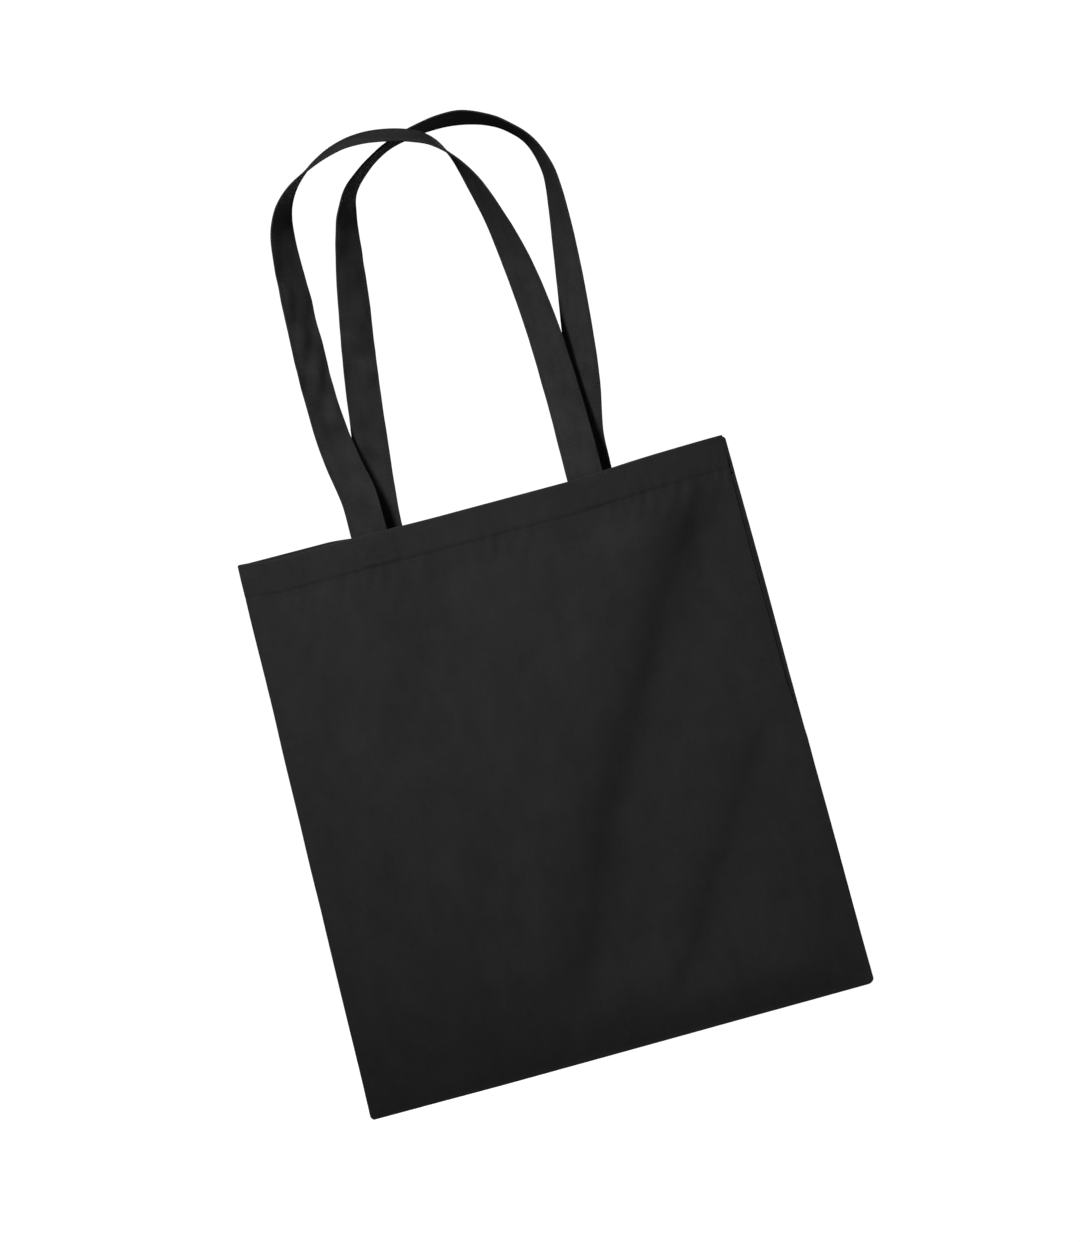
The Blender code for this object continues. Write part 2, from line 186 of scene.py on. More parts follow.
def cloth_relief(x, z, folds, side, seed):
    """How far the cloth stands out of the bag's plain shape: slack cloth, and pulls at the stitching."""
    relief = slack(x, z, folds, side, seed)
    edge = reach(z) - np.abs(x)
    below_rim = height - z
    hem_line = below_rim - HEM_HEIGHT + HEM_STITCH_UP
    along = x + 0.007 * ripple(x, 0 * z, seed + 3, 0.05)
    gather = np.clip(0.35 + 0.5 * ripple(x, 0 * z, seed + 4, 0.06) + 0.5 * ramp(0.06, 0.15, x), 0.0, 1.3)
    pucker = np.sin(2 * math.pi * along / HEM_PULL) * gather
    slanted = np.sin(2 * math.pi * (along + 0.4 * hem_line) / SLANTED_PULL) * gather
    relief += 0.00046 * pucker * bell(hem_line - 0.003, 0.0055)
    relief += 0.00028 * pucker * bell(hem_line + 0.004, 0.005)
    relief += 0.00046 * slanted * bell(hem_line - 0.010, 0.011)
    relief -= 0.00055 * bell(hem_line, 0.0009) + 0.00030 * bell(hem_line - 0.004, 0.004)
    relief += 0.00040 * ramp(-0.0018, 0.0014, -hem_line) * ramp(0.0, 0.004, edge)
    side_pull = np.sin(2 * math.pi * (z + 0.004 * ripple(z, 0 * x, seed + 5, 0.06)) / SIDE_PULL)
    uneven = 0.6 + 0.4 * ripple(z, 0 * x, seed + 6, 0.05)
    relief += 0.00022 * side_pull * uneven * bell(edge - 0.006, 0.006)
    base_pull = np.sin(2 * math.pi * (x + 0.005 * ripple(x, 0 * z, seed + 7, 0.07)) / BASE_PULL)
    relief += 0.00022 * base_pull * bell(z - 0.007, 0.006) * ramp(0.0, 0.02, edge)
    for left, right in strap_spans(side):
        relief += strap_patch(x - (left + right) / 2, below_rim, (right - left) / 2)
    return relief


BOX_INSET = 0.0025  # from the strap's edges to its boxed cross
BOX_MIDDLE = 0.0115  # below the rim
BOX_HALF_HIGH = 0.009
BOX_DENT = 0.0008  # width of the dent along its stitches


def strap_patch(x, below_rim, half_wide):
    """Where a strap is sewn behind the cloth: a low raised patch, drawn in along its boxed cross."""
    low, high = -half_wide - 0.001, -half_wide + 0.0015
    patch = ramp(low, high, x) * ramp(low, high, -x)
    patch = patch * ramp(-0.0245, -0.0215, -below_rim) * ramp(0.0, 0.002, below_rim)
    half = half_wide - BOX_INSET
    up = below_rim - BOX_MIDDLE
    inside = ramp(-half - 0.001, -half, -np.abs(x))
    inside = inside * ramp(-BOX_HALF_HIGH - 0.001, -BOX_HALF_HIGH, -np.abs(up))
    lines = np.maximum(bell(np.abs(x) - half, BOX_DENT), bell(np.abs(up) - BOX_HALF_HIGH, BOX_DENT))
    slope = BOX_HALF_HIGH / half
    for sign in (1, -1):
        lines = np.maximum(lines, bell((up - sign * slope * x) / math.hypot(1, slope), BOX_DENT))
    puff = np.sin(x / 0.0017 + 2.0) * np.sin(up / 0.0021)
    return (0.00058 + 0.00012 * puff) * patch - 0.00044 * lines * inside


def tuck(side_of_bag, z):
    """How far round to the front a side seam sits.  The right one has rolled forward near the mouth."""
    if side_of_bag == "left":
        return 0.0006 * np.sin(z / 0.06)
    return 0.0040 * ramp(0.185, 0.235, z) * (1 - 0.2 * ramp(height - 0.05, height, z)) + 0.0004


def edge_roll(z):
    """Radius of the cloth round a side seam, at heights z."""
    return EDGE_ROLL + (RIM_EDGE_ROLL - EDGE_ROLL) * ramp(height - RIM_THICKENING, height, z)


def plan_point(c, z, side):
    """Place and outward direction in plan of the middle of the cloth, c along the half round from one
    side edge to the other, and the length of that half round."""
    waver = 0.00035 * ripple(z, 0 * c, 61 if side < 0 else 62, 0.13)
    edge = reach(z) - CLOTH / 2 + waver * ramp(0, 0.04, z)
    roll = edge_roll(z)
    quarter = math.pi / 2 * roll
    length = 2 * (edge - roll) + 2 * quarter
    from_side = np.minimum(c, length - c)
    sign = np.where(c < length / 2, -1.0, 1.0)
    angle = np.clip(from_side / roll, -math.pi / 2, math.pi / 2)
    inward = np.maximum(from_side - quarter, 0.0)
    x = sign * (edge - roll + roll * np.cos(angle) - inward)
    swell = np.maximum(edge - roll - flat_half, 0.01)
    share = np.clip(inward / swell, 0.0, 1.0)
    # Near the base the right side comes to its full depth sooner than the left.
    fullness = 1.5 + np.where(sign > 0, 3.0, 0.0) * ramp(-0.20, -0.06, -z)
    across = 1 - (1 - share) ** fullness
    lift = np.clip((z - 0.003) / BASE_SWELL, 0.0, 1.0)
    up = 1 - (1 - lift) ** 6
    depth = roll * np.sin(angle) + (outer_depth - CLOTH / 2 - roll) * across * up
    close = np.sqrt(np.clip(1 - (1 - np.clip(z / BASE_ROLL, 0.0, 1.0)) ** 2, 0.0, 1.0))
    depth = depth * (0.12 + 0.88 * close)
    out_x = sign * np.cos(angle)
    out_y = side * np.sin(angle)
    return x, side * depth, out_x, out_y, length


def spread(low, high, pitch):
    return np.linspace(low, high, max(2, int(round((high - low) / pitch)) + 1))


END_STEPS = np.array((0.0, 0.3, 0.6, 0.9, 1.2, 1.6, 2.1, 2.8, 3.7, 5.0, 6.8)) / 1000


def panel_rows():
    """(height, distance in from the outer face) of each row, up from the base, over the rim and down."""
    rows = [(BASE_ROLL * (1 - math.cos(a)) + CLOTH / 2, 0.0) for a in np.linspace(0, math.pi / 2, 6)]
    top = height - CLOTH / 2 - HEM_TURN
    rows += [(z, 0.0) for z in spread(rows[-1][0], height - HEM_HEIGHT - 0.008, CLOTH_PITCH)[1:]]
    rows += [(z, 0.0) for z in spread(rows[-1][0], top, HEM_PITCH)[1:]]
    rows += [(top + HEM_TURN * math.sin(a), HEM_TURN * (1 - math.cos(a)))
             for a in np.linspace(0, math.pi, 9)[1:]]
    low = height - HEM_HEIGHT
    rows += [(z, 2 * HEM_TURN) for z in spread(low, top, CLOTH_PITCH)[-2::-1]]
    rows += [(low - UNDER_TURN * math.sin(a), 2 * HEM_TURN - UNDER_TURN * (1 - math.cos(a)))
             for a in np.linspace(0, math.pi, 5)[1:]]
    rows += [(z, 2 * (HEM_TURN - UNDER_TURN)) for z in spread(low, low + HEM_UNDER, CLOTH_PITCH)[1:]]
    return rows


LEAN = 0.0043  # how far the mouth stands to the right of the base
BASE_TILT = 0.008  # rise of the base along X


def rim_line(x, side):
    """How far the mouth's edge hangs below its corners: the front sags between and beside the straps."""
    if side < 0:
        sag = -0.0032 * ramp(-half_mouth, -half_mouth + 0.03, x) - 0.0006 * ramp(-0.09, -0.03, x)
        return sag + 0.0030 * ramp(0.060, 0.135, x) + 0.0014 * ramp(0.115, 0.185, x)
    return -0.0040 * ramp(-0.120, -0.075, x) * ramp(-half_mouth, -0.09, -x) - 0.0003


def skewed(x, y, z):
    """Points of the bag from its even shape: mouth to the right, base rising to the right."""
    return np.stack([x + LEAN * z / height, y, z + BASE_TILT * x * (1 - z / height) + base_z], axis=-1)


def panel_surface(c, z, inset, side, folds, seed):
    """Points of the cloth's middle, for arrays of place round the bag, height and inset."""
    x, y, out_x, out_y, _ = plan_point(c, z, side)
    side_name = "front" if side < 0 else "back"
    relief = cloth_relief(x, z, folds, side_name, seed) * np.abs(out_y) - inset
    past = np.clip(np.abs(x) - (half_base - CORNER), 0.0, CORNER)
    corner = CORNER - np.sqrt(CORNER**2 - past**2)
    top_past = np.clip(x - (half_mouth - TOP_CORNER), 0.0, TOP_CORNER)
    top_corner = (TOP_CORNER - np.sqrt(TOP_CORNER**2 - top_past**2)) * ramp(height - 0.03, height, z)
    lifted = z + corner * (1 - z / height) - top_corner + rim_line(x, side) * (z / height) ** 2
    return skewed(x + out_x * relief, y + out_y * relief, lifted)


def grid_mesh(name, points, uv, flip):
    """An open sheet from a grid of points, with UVs in metres of cloth."""
    high, wide = points.shape[:2]
    index = np.arange(high * wide).reshape(high, wide)
    quads = np.stack([index[:-1, :-1], index[:-1, 1:], index[1:, 1:], index[1:, :-1]], axis=-1)
    quads = quads.reshape(-1, 4)
    if flip:
        quads = quads[:, ::-1]
    mesh = bpy.data.meshes.new(name)
    mesh.from_pydata(points.reshape(-1, 3).tolist(), [], quads.tolist())
    layer = mesh.uv_layers.new(name="cloth")
    corners = np.empty(len(mesh.loops), dtype=np.int32)
    mesh.loops.foreach_get("vertex_index", corners)
    layer.data.foreach_set("uv", uv.reshape(-1, 2)[corners].astype(np.float32).ravel())
    mesh.shade_smooth()
    return mesh


def along_rows(points, axis):
    """Distance run along an axis of a grid of points."""
    steps = np.linalg.norm(np.diff(points, axis=axis), axis=-1)
    pad = [(0, 0), (0, 0)]
    pad[axis] = (1, 0)
    return np.pad(np.cumsum(steps, axis=axis), pad)


def new_piece(name, mesh, finish):
    piece = bpy.data.objects.new(name, mesh)
    bpy.context.scene.collection.objects.link(piece)
    mesh.materials.append(finish)
    return piece


def thicken(piece, thickness):
    """Gives a sheet its thickness, half to each side."""
    wall = piece.modifiers.new("thickness", "SOLIDIFY")
    wall.thickness = thickness
    wall.offset = 0.0
    wall.use_rim = True


class Signal:
    """A value that varies over a surface: a node's output, whose arithmetic adds Math nodes."""

    def __init__(self, tree, socket):
        self.tree = tree
        self.socket = socket

    def node(self, kind, settings=None, sockets=None, out=0):
        """Any node: its type, its settings, its sockets' values or links, and which output to take."""
        made = self.tree.nodes.new(kind)
        for key, value in (settings or {}).items():
            setattr(made, key, value)
        for key, value in (sockets or {}).items():
            if isinstance(value, Signal):
                self.tree.links.new(value.socket, made.inputs[key])
            else:
                made.inputs[key].default_value = value
        return Signal(self.tree, made.outputs[out])

    def maths(self, operation, first, second=0.0):
        return self.node("ShaderNodeMath", {"operation": operation}, {0: first, 1: second})

    def __add__(self, other):
        return self.maths("ADD", self, other)

    __radd__ = __add__

    def __sub__(self, other):
        return self.maths("SUBTRACT", self, other)

    def __rsub__(self, other):
        return self.maths("SUBTRACT", other, self)

    def __mul__(self, other):
        return self.maths("MULTIPLY", self, other)

    __rmul__ = __mul__

    def sine(self):
        return self.maths("SINE", self)

    def size(self):
        return self.maths("ABSOLUTE", self)

    def between(self, low, high):
        """0 at low and 1 at high."""
        return self.node("ShaderNodeMapRange", None, {"Value": self, "From Min": low, "From Max": high})


def start_material(name):
    """A new material, its Principled shader and a signal to build from."""
    made = bpy.data.materials.new(name)
    made.use_nodes = True
    tree = made.node_tree
    return made, tree.nodes["Principled BSDF"], Signal(tree, None)


def set_tone(start, shader, tone, shade, tint=1.0):
    """Base Color from a tone that varies about 1, times a shade."""
    colour = start.node("ShaderNodeMix", {"data_type": "RGBA", "blend_type": "MIX"},
                        {0: tone.between(0.0, 2.0), 6: (0.0, 0.0, 0.0, 1.0),
                         7: (2 * shade, 2 * shade, 2 * tint * shade, 1.0)}, out=2)
    start.tree.links.new(colour.socket, shader.inputs["Base Color"])


YARN = 0.00052  # spacing of the weave's yarns


def canvas_weave(name, shade, crumple, worn, gloss, sheen):
    """Dyed plain-weave cotton: yarns over and under, slubs, pale and dark flecks, faded spots."""
    made, shader, start = start_material(name)
    place = start.node("ShaderNodeUVMap", {"uv_map": "cloth"})
    parts = start.node("ShaderNodeSeparateXYZ", None, {0: place})
    across = Signal(start.tree, parts.socket.node.outputs["X"])
    up = Signal(start.tree, parts.socket.node.outputs["Y"])

    def noise(scale_x, scale_y, detail, rough):
        stretched = start.node("ShaderNodeMapping", None, {0: place, "Scale": (scale_x, scale_y, 1.0)})
        return start.node("ShaderNodeTexNoise", None,
                          {"Vector": stretched, "Scale": 1.0, "Detail": detail, "Roughness": rough})

    wander = (noise(140, 140, 1.0, 0.5) - 0.5) * 0.9
    warp = (across * (math.pi / YARN) + wander).sine()
    weft = (up * (math.pi / YARN) + wander).sine()
    over = (warp * weft * 1.5 + 0.5).between(0.0, 1.0)
    weave = warp.size() * over + weft.size() * (1 - over)
    warp_slub = noise(1500, 60, 2.0, 0.6)
    weft_slub = noise(55, 1400, 2.0, 0.6)
    slubs = warp_slub * over + weft_slub * (1 - over)
    mottle = noise(75, 38, 3.0, 0.6)
    broad = noise(22, 9, 3.0, 0.6)
    flecks = noise(430, 430, 0.0, 0.5)
    pale = flecks.between(0.735, 0.79)
    dark = flecks.between(0.262, 0.215)
    tone = (0.72 + weave * 0.24 + (slubs - 0.5) * 0.60 + (mottle - 0.5) * 0.50 * worn
            + (broad - 0.5) * 0.46 * worn + pale * 0.12 - dark * 0.20)
    set_tone(start, shader, tone, shade, tint=1.015)
    rough = 0.93 - weave * 0.08 + (mottle - 0.5) * 0.08
    start.tree.links.new(rough.socket, shader.inputs["Roughness"])
    shader.inputs["Specular IOR Level"].default_value = gloss
    shader.inputs["Sheen Weight"].default_value = sheen
    shader.inputs["Sheen Roughness"].default_value = 0.55
    relief = weave * 0.16 + slubs * 0.10 + mottle * crumple + noise(20, 20, 3.0, 0.55) * crumple * 2.2
    bump = start.node("ShaderNodeBump", None, {"Height": relief, "Distance": 0.001, "Strength": 0.5})
    start.tree.links.new(bump.socket, shader.inputs["Normal"])
    return made


body_canvas = canvas_weave("body_canvas", 0.0215, crumple=0.22, worn=1.0, gloss=0.22, sheen=0.06)


SEAM_GROOVE = 0.00022  # half the gap between the two cloths in a side seam


def make_panel(name, side, folds, seed):
    """One panel as a single sheet, from seam to seam and from the base to inside its hem."""
    rows = panel_rows()
    z = np.array([row[0] for row in rows])[:, None]
    inset = np.array([row[1] for row in rows])[:, None]
    length = plan_point(np.zeros_like(z), z, side)[4]
    sign = 1 if side < 0 else -1
    start = sign * tuck("left", z)
    stop = length - sign * tuck("right", z)
    left = start + SEAM_GROOVE + END_STEPS[None, :]
    right = stop - SEAM_GROOVE - END_STEPS[None, ::-1]
    count = int((half_base * 2 - 0.02) / CLOTH_PITCH)
    between = np.linspace(0.0, 1.0, count + 2)[None, 1:-1]
    middle = left[:, -1:] + (right[:, :1] - left[:, -1:]) * between
    c = np.concatenate([left, middle, right], axis=1)
    z = np.broadcast_to(z, c.shape)
    inset = np.broadcast_to(inset, c.shape)
    points = panel_surface(c, z, inset, side, folds, seed)
    uv = np.stack([c, along_rows(points, 0)[:, c.shape[1] // 2][:, None] + 0 * c], axis=-1)
    piece = new_piece(name, grid_mesh(name, points, uv, flip=side > 0), body_canvas)
    thicken(piece, CLOTH)
    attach(piece, "bag")
    return piece


FRONT_SEED = 11
BACK_SEED = 31
front_cloth = make_panel("front_panel_cloth", -1, FRONT_FOLDS, FRONT_SEED)
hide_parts("front_panel", "front_top_hem")
back_cloth = make_panel("back_panel_cloth", 1, BACK_FOLDS, BACK_SEED)
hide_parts("back_panel", "back_top_hem")
PANELS = (("front", -1, FRONT_FOLDS, FRONT_SEED), ("back", 1, BACK_FOLDS, BACK_SEED))

# --- Seam allowances --------------------------------------------------------------------------------
# Inside each seam lie the two panels' cut edges, pressed to one side and wrapped together with overlock
# thread.  They are only seen from above, down the mouth.

ALLOWANCE = 0.008  # width, from the seam line in
LAYERS = 0.0013  # thickness of the two cloths together


def allowance(name, node, run, step):
    """A double strip of cloth along a seam line.  run is the line, and step the way in from it."""
    wide = np.linspace(0.0009, ALLOWANCE, 7)
    lean = 0.00035 * np.sin(np.linspace(0, 1, len(run)) * 23.0)[:, None] * (wide / ALLOWANCE)[None, :]
    points = run[:, None, :] + wide[None, :, None] * step[:, None, :]
    points[..., 1] += lean
    uv = np.stack([along_rows(points, 1), along_rows(points, 0)], axis=-1)
    piece = new_piece(name, grid_mesh(name, points, uv, flip=False), body_canvas)
    thicken(piece, LAYERS)
    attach(piece, "bag")
    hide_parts(node)


def side_run(sign):
    """Points down a side seam line."""
    z = spread(ALLOWANCE + 0.001, height - HEM_HEIGHT - 0.002, 0.004)
    x = sign * (reach(z) - 0.0008)
    return skewed(x, 0 * z, z)


for side_name, sign in (("left", -1), ("right", 1)):
    run = side_run(sign)
    inwards = np.broadcast_to(np.array((-sign, 0.0, 0.0)), run.shape)
    allowance(side_name + "_seam_cloth", side_name + "_side_seam", run, inwards)
across = spread(-half_base + CORNER, half_base - CORNER, 0.004)
base_run = skewed(across, 0 * across, 0 * across + 0.0008)
upwards = np.broadcast_to(np.array((0.0, 0.0, 1.0)), base_run.shape)
allowance("base_seam_cloth", "base_seam", base_run, upwards)

# --- Hem stitching and overlocking ------------------------------------------------------------------
# Black spun thread.  A lockstitch row holds each hem, seen as short sunk stitches outside and in, and a
# close zigzag wraps the seam allowances' cut edges.

STITCH_PITCH = 0.0030
STITCH_LENGTH = 0.0025
STITCH_SINK = 0.00005  # how far a stitch's middle lies under the cloth's face
THREAD = 0.00055


def thread_material(name, shade):
    """Spun polyester thread: a faint twist along each stitch, a little shinier than the cloth."""
    made, shader, start = start_material(name)
    place = start.node("ShaderNodeTexCoord", out=3)
    parts = start.node("ShaderNodeSeparateXYZ", None, {0: place}).socket.node.outputs
    x, y, z = (Signal(start.tree, parts[axis]) for axis in "XYZ")
    diagonal = x + y + z
    twist = (diagonal * 9000.0).sine() * 0.5 + 0.5
    patchy = start.node("ShaderNodeTexNoise", None, {"Vector": place, "Scale": 260.0, "Detail": 2.0})
    tone = 0.75 + twist * 0.25 + (patchy - 0.5) * 0.5
    set_tone(start, shader, tone, shade)
    rough = 0.62 + (patchy - 0.5) * 0.2
    start.tree.links.new(rough.socket, shader.inputs["Roughness"])
    shader.inputs["Specular IOR Level"].default_value = 0.25
    bump = start.node("ShaderNodeBump", None, {"Height": twist, "Distance": 0.0001, "Strength": 0.5})
    start.tree.links.new(bump.socket, shader.inputs["Normal"])
    return made


black_thread = thread_material("black_thread", 0.025)


def stitch_tree():
    """Geometry nodes that set a stitch at even steps along every line of a mesh, lying on its cloth."""
    tree = bpy.data.node_groups.new("row_of_stitches", "GeometryNodeTree")
    face = tree.interface
    face.new_socket("Lines", in_out="INPUT", socket_type="NodeSocketGeometry")
    for label in ("Pitch", "Stitch Length", "Thread Width", "Thread Height"):
        face.new_socket(label, in_out="INPUT", socket_type="NodeSocketFloat")
    face.new_socket("Thread", in_out="INPUT", socket_type="NodeSocketMaterial")
    face.new_socket("Seed", in_out="INPUT", socket_type="NodeSocketInt")
    face.new_socket("Stitches", in_out="OUTPUT", socket_type="NodeSocketGeometry")

    def add(kind, settings=None, sockets=None):
        made = tree.nodes.new(kind)
        for key, value in (settings or {}).items():
            setattr(made, key, value)
        for key, value in (sockets or {}).items():
            if isinstance(value, bpy.types.NodeSocket):
                tree.links.new(value, made.inputs[key])
            else:
                made.inputs[key].default_value = value
        return made

    given = add("NodeGroupInput").outputs
    curve = add("GeometryNodeMeshToCurve", None, {"Mesh": given["Lines"]}).outputs[0]
    even = add("GeometryNodeResampleCurve", {"mode": "LENGTH"}, {"Curve": curve, "Length": given["Pitch"]})
    grain = add("GeometryNodeMeshUVSphere", None, {"Segments": 6, "Rings": 5, "Radius": 0.5}).outputs[0]
    outwards = add("GeometryNodeInputNamedAttribute", {"data_type": "FLOAT_VECTOR"},
                   {"Name": "out"}).outputs[0]
    tangent = add("GeometryNodeInputTangent").outputs[0]
    turn = add("FunctionNodeAxesToRotation", {"primary_axis": "Z", "secondary_axis": "Y"},
               {0: tangent, 1: outwards}).outputs[0]
    vary = add("FunctionNodeRandomValue", {"data_type": "FLOAT"},
               {2: 0.88, 3: 1.1, "Seed": given["Seed"]}).outputs[1]
    longer = add("ShaderNodeMath", {"operation": "MULTIPLY"},
                 {0: vary, 1: given["Stitch Length"]}).outputs[0]
    size = add("ShaderNodeCombineXYZ", None,
               {0: given["Thread Width"], 1: given["Thread Height"], 2: longer}).outputs[0]
    wobble = add("FunctionNodeRandomValue", {"data_type": "FLOAT_VECTOR"},
                 {0: (-0.05, -0.09, -0.05), 1: (0.05, 0.09, 0.05), "Seed": given["Seed"]}).outputs[0]
    loose = add("FunctionNodeEulerToRotation", None, {0: wobble}).outputs[0]
    facing = add("FunctionNodeRotateRotation", {"rotation_space": "LOCAL"}, {0: turn, 1: loose}).outputs[0]
    rows = add("GeometryNodeInstanceOnPoints", None,
               {"Points": even.outputs[0], "Instance": grain, "Rotation": facing, "Scale": size}).outputs[0]
    real = add("GeometryNodeRealizeInstances", None, {0: rows}).outputs[0]
    smooth = add("GeometryNodeSetShadeSmooth", None, {0: real}).outputs[0]
    dressed = add("GeometryNodeSetMaterial", None, {0: smooth, "Material": given["Thread"]}).outputs[0]
    add("NodeGroupOutput", None, {0: dressed})
    return tree


stitch_nodes = stitch_tree()


def sew(name, lines, seed, pitch=STITCH_PITCH, length=STITCH_LENGTH, width=THREAD, rise=THREAD):
    """A mesh of stitches along lines, each a list of points and of directions out of the cloth there."""
    points = np.concatenate([line[0] for line in lines])
    outs = np.concatenate([np.broadcast_to(line[1], line[0].shape) for line in lines])
    edges = []
    start = 0
    for line in lines:
        edges += [(start + i, start + i + 1) for i in range(len(line[0]) - 1)]
        start += len(line[0])
    guide_mesh = bpy.data.meshes.new(name + "_lines")
    guide_mesh.from_pydata(points.tolist(), edges, [])
    out = guide_mesh.attributes.new("out", "FLOAT_VECTOR", "POINT")
    out.data.foreach_set("vector", outs.astype(np.float32).ravel())
    guide = bpy.data.objects.new(name + "_lines", guide_mesh)
    bpy.context.scene.collection.objects.link(guide)
    rows = guide.modifiers.new("stitches", "NODES")
    rows.node_group = stitch_nodes
    values = {"Pitch": pitch, "Stitch Length": length, "Thread Width": width, "Thread Height": rise,
              "Thread": black_thread, "Seed": seed}
    for item in stitch_nodes.interface.items_tree:
        if item.in_out == "INPUT" and item.name in values:
            rows[item.identifier] = values[item.name]
    graph = bpy.context.evaluated_depsgraph_get()
    mesh = bpy.data.meshes.new_from_object(guide.evaluated_get(graph))
    mesh.name = name
    bpy.data.objects.remove(guide)
    piece = bpy.data.objects.new(name, mesh)
    bpy.context.scene.collection.objects.link(piece)
    return piece


def cloth_line(side, xs, zs, folds, seed, face):
    """Points on a panel's outer (face 1) or hem's inner (face -1) surface, and the way out of the cloth."""
    xs, zs = np.broadcast_arrays(np.asarray(xs, dtype=float), np.asarray(zs, dtype=float))
    length = plan_point(0 * zs, zs, side)[4]
    left_edge = plan_point(0 * zs, zs, side)[0]
    roll = edge_roll(zs)
    c = np.clip(xs - left_edge - roll + math.pi / 2 * roll, 0.0, length)
    inset = -CLOTH / 2 if face > 0 else 2 * HEM_TURN + CLOTH / 2
    points = panel_surface(c, zs, np.full(zs.shape, inset), side, folds, seed)
    out = np.array((0.0, side * face, 0.0))
    return points - STITCH_SINK * out, out


HEM_STITCH_Z = height - HEM_HEIGHT + HEM_STITCH_UP
hem_xs = spread(-reach(height - HEM_HEIGHT) + 0.004, reach(height - HEM_HEIGHT) - 0.004, 0.0015)
for side_name, side, folds, seed in PANELS:
    weave_off = 0.00025 * ripple(hem_xs, 0 * hem_xs, seed + 9, 0.09)
    lines = [cloth_line(side, hem_xs, HEM_STITCH_Z + weave_off, folds, seed, face) for face in (1, -1)]
    row = sew(side_name + "_hem_thread", lines, seed)
    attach(row, "bag")
    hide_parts(side_name + "_hem_stitch")


OVERLOCK_PAST = 0.0004  # how far the overlock loops stand past the cut edge
OVERLOCK_BITE = 0.0030  # and how far in they reach


def zigzag(run, step, name, node, seed):
    """Overlock thread over a seam allowance's cut edge."""
    count = len(run) * 3
    t = np.linspace(0, len(run) - 1, count)
    along = np.stack([np.interp(t, np.arange(len(run)), run[:, k]) for k in range(3)], axis=-1)
    swing = np.where(np.arange(count) % 2 == 0, OVERLOCK_PAST, -OVERLOCK_BITE)[:, None] + ALLOWANCE
    lines = []
    for face in (1, -1):
        line = along + swing * step[None, :]
        line[:, 1] += face * (LAYERS / 2 + 0.0001)
        lines.append((line, np.array((0.0, face, 0.0))))
    row = sew(name, lines, seed, pitch=0.0016, length=0.0019, width=0.00034, rise=0.00034)
    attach(row, "bag")
    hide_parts(node)


for side_name, sign, seed in (("left", -1, 71), ("right", 1, 72)):
    step = np.array((-sign, 0.0, 0.0))
    zigzag(side_run(sign), step, side_name + "_overlock_thread", side_name + "_seam_overlock", seed)
zigzag(base_run, np.array((0.0, 0.0, 1.0)), "base_overlock_thread", "base_seam_overlock", 73)

# --- Handles ----------------------------------------------------------------------------------------
# Each handle is one strap of the same canvas, folded in four and stitched near both edges.  Its ends go
# down behind the hem.  Carried loosely, it turns on edge over the arch and crumples a little on its legs.

STRAP_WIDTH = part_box("front_left_strap_end")[1].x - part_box("front_left_strap_end")[0].x
STRAP_THICKNESS = 0.0016
STRAP_TAIL = rim_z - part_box("front_left_strap_end")[0].z  # the part sewn down inside the hem
HANDLE_RISE = 0.286
EDGE_STITCH_INSET = 0.0025
STRAP_PITCH = 0.00145  # spacing of the strap's rows
STITCH_ROW = 1 - EDGE_STITCH_INSET / (STRAP_WIDTH / 2)  # the same as a share of the half width
# Across in half spreads, up in rises, the turn in degrees of the face that looks forward at the ends, and
# the distance in millimetres from the bag's middle.
FRONT_ROUTE = (
    (-1.000, 0.000, 0, 11.2), (-1.005, 0.090, 5, 10.6), (-1.068, 0.195, 17, 9.0), (-1.107, 0.320, 30, 8.0),
    (-1.106, 0.485, 34, 9.0), (-1.090, 0.650, 41, 11.0), (-1.060, 0.785, 54, 13.5),
    (-0.950, 0.865, 75, 15.0), (-0.720, 0.925, 97, 15.2), (-0.365, 0.968, 110, 15.2),
    (0.000, 0.968, 116, 15.2),
    (0.360, 0.935, 113, 15.2), (0.565, 0.878, 94, 15.2), (0.710, 0.793, 71, 13.5), (0.820, 0.690, 58, 9.5),
    (0.913, 0.555, 40, 4.8), (0.977, 0.390, 28, 1.8), (1.002, 0.210, 17, 2.8), (1.003, 0.095, 7, 7.6),
    (1.000, 0.000, 0, 11.2),
)
BACK_ROUTE = (
    (-1.000, 0.000, 0, 11.2), (-0.970, 0.100, 5, 11.0), (-0.907, 0.245, 16, 9.4), (-0.823, 0.420, 24, 8.0),
    (-0.724, 0.595, 34, 9.6), (-0.640, 0.735, 50, 12.4), (-0.573, 0.810, 63, 14.2),
    (-0.455, 0.875, 79, 15.2), (-0.120, 0.943, 87, 15.2), (0.250, 0.972, 82, 15.2),
    (0.620, 0.976, 76, 15.2), (0.920, 0.947, 82, 15.2),
    (1.105, 0.908, 84, 15.2), (1.225, 0.866, 82, 15.2), (1.300, 0.805, 76, 14.0), (1.318, 0.735, 68, 10.5),
    (1.282, 0.595, 53, 6.2), (1.207, 0.405, 37, 2.6), (1.119, 0.230, 23, 3.0), (1.020, 0.105, 9, 8.0),
    (1.000, 0.000, 0, 11.2),
)

# Painted light: the straps are the body's canvas, yet their shade is set about 1.6 times the body's, a lit
# copy that stands in for the sheen and light they catch, while their gloss and sheen are turned down.
strap_canvas = canvas_weave("strap_canvas", 0.0345, crumple=0.26, worn=1.3, gloss=0.06, sheen=0.0)


